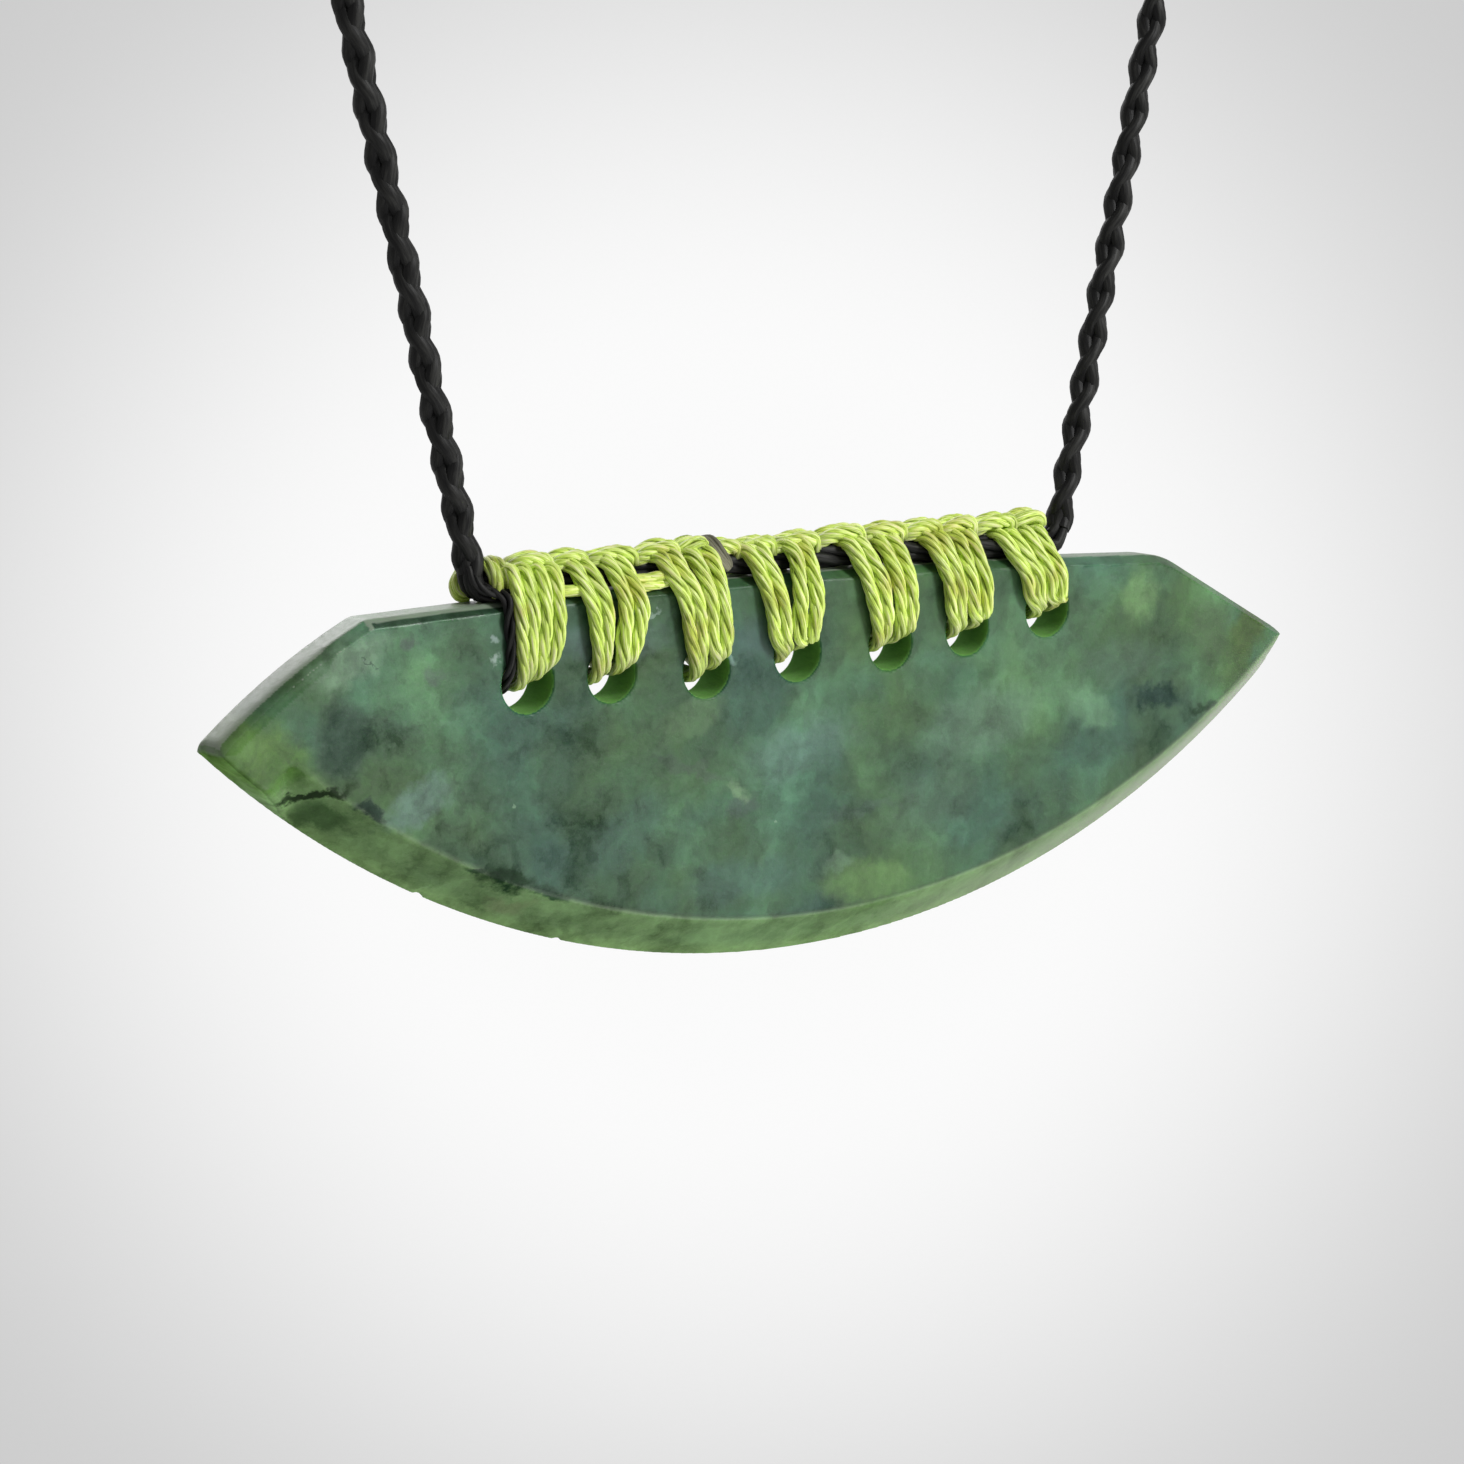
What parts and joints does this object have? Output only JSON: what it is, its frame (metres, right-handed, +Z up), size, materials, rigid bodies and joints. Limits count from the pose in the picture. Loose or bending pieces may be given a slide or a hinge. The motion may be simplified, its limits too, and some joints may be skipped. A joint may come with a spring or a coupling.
{
  "type": "jade half-shield pendant necklace",
  "caption": "Half-shield pendant of green jade, lashed through drilled holes along its top edge to a black cord with waxed thread, on a braided neck loop.",
  "frame": {"origin": "inner side of the neck cord at the nape, where the loop hangs on the back of a neck", "axes": "X along the pendant's width to the wearer's left, Y to the back, Z up"},
  "size_m": [0.1296, 0.1105, 0.2191],
  "materials": {
    "jade": "polished",
    "thread": "waxed",
    "black_cord": "matte"
  },
  "bodies": {
    "root": {"jade_shield": "jade", "carrier_cord": "black_cord", "hitch_ridge": "thread", "stitch_1": "thread", "stitch_2": "thread", "stitch_3": "thread", "stitch_4": "thread", "stitch_5": "thread", "stitch_6": "thread", "stitch_7": "thread", "turn_left": "black_cord", "turn_right": "black_cord", "neck_cord": "black_cord"}
  },
  "joints": []
}
